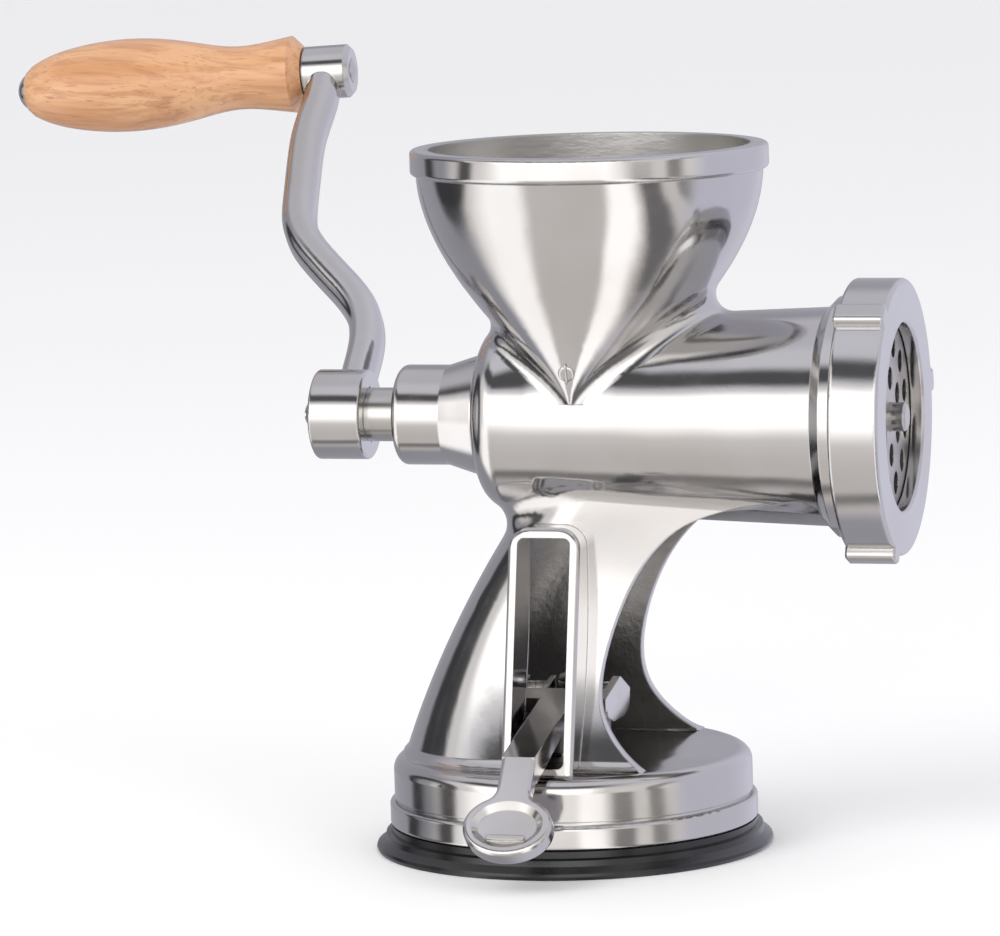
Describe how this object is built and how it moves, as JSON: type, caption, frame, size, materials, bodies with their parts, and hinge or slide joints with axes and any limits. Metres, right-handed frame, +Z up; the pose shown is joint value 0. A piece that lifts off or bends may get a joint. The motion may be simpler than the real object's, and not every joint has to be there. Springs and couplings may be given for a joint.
{
  "type": "hand crank meat grinder",
  "caption": "Polished steel hand crank grinder: oval hopper, screw barrel, perforated plate under a lugged ring nut, wooden-handled crank, lever-locked suction foot.",
  "frame": {"origin": "centre of the foot on the table plane, under the stem that pulls the suction cup", "axes": "+Z up, +X along the barrel towards the grinding plate, -Y towards the suction lever"},
  "size_m": [0.2898, 0.1946, 0.2205],
  "materials": {
    "polished_steel": "mirror polished cast stainless steel, rough cast grey inside the pedestal",
    "crank_steel": "polished stainless steel",
    "ring_steel": "polished stainless steel, fine turned face",
    "lever_steel": "polished stainless steel, satin inside",
    "screw_steel": "satin cast stainless steel",
    "blade_steel": "ground stainless steel",
    "plate_steel": "ground stainless steel",
    "fastener_steel": "bright stainless steel",
    "bush_bronze": "turned bronze",
    "washer_nylon": "natural nylon",
    "rubber_black": "glossy moulded rubber",
    "beech": "lacquered beech"
  },
  "bodies": {
    "body": {"body_casting": "polished_steel", "rear_bush": "bush_bronze", "thrust_washer": "washer_nylon", "plate_key_pin": "fastener_steel", "suction_cup": "rubber_black"},
    "crank": {"feed_screw": "screw_steel", "cross_knife": "blade_steel", "crank_arm": "crank_steel", "crank_screw": "fastener_steel", "handle_bolt": "fastener_steel", "handle_washer": "fastener_steel", "handle_end_cap": "fastener_steel"},
    "handle": {"handle_grip": "beech"},
    "plate": {"grinding_plate": "plate_steel"},
    "ring": {"ring_nut": "ring_steel"},
    "stem": {"suction_stem": "lever_steel", "stem_foot_plate": "lever_steel", "stem_nut": "fastener_steel"},
    "lever": {"suction_lever": "lever_steel", "lever_pin": "fastener_steel"}
  },
  "joints": [
    {"name": "crank_turn", "type": "hinge", "parent": "body", "child": "crank", "pos_m": [-0.0635, 0, 0.1208], "axis": [1, 0, 0], "continuous": true},
    {"name": "handle_spin", "type": "hinge", "parent": "crank", "child": "handle", "pos_m": [-0.09665, 0.10587, 0.20963], "axis": [-0.9969, -0.0601, -0.0504], "continuous": true},
    {"name": "plate_slide", "type": "slide", "parent": "body", "child": "plate", "axis": [1, 0, 0], "range_m": [0, 0.0121]},
    {"name": "ring_turn", "type": "hinge", "parent": "plate", "child": "ring", "pos_m": [0.09, 0, 0.1208], "axis": [1, 0, 0], "range_deg": [0, 1440]},
    {"name": "stem_slide", "type": "slide", "parent": "body", "child": "stem", "axis": [0, 0, 1], "range_m": [-0.0026, 0]},
    {"name": "lever_swing", "type": "hinge", "parent": "stem", "child": "lever", "pos_m": [0, 0, 0.0415], "axis": [-1, 0, 0], "range_deg": [0, 65]}
  ],
  "couplings": [
    {"joint": "plate_slide", "follows": "ring_turn", "m_per_rad": 0.00047746},
    {"joint": "stem_slide", "follows": "lever_swing", "m_per_rad": -0.0022037}
  ]
}
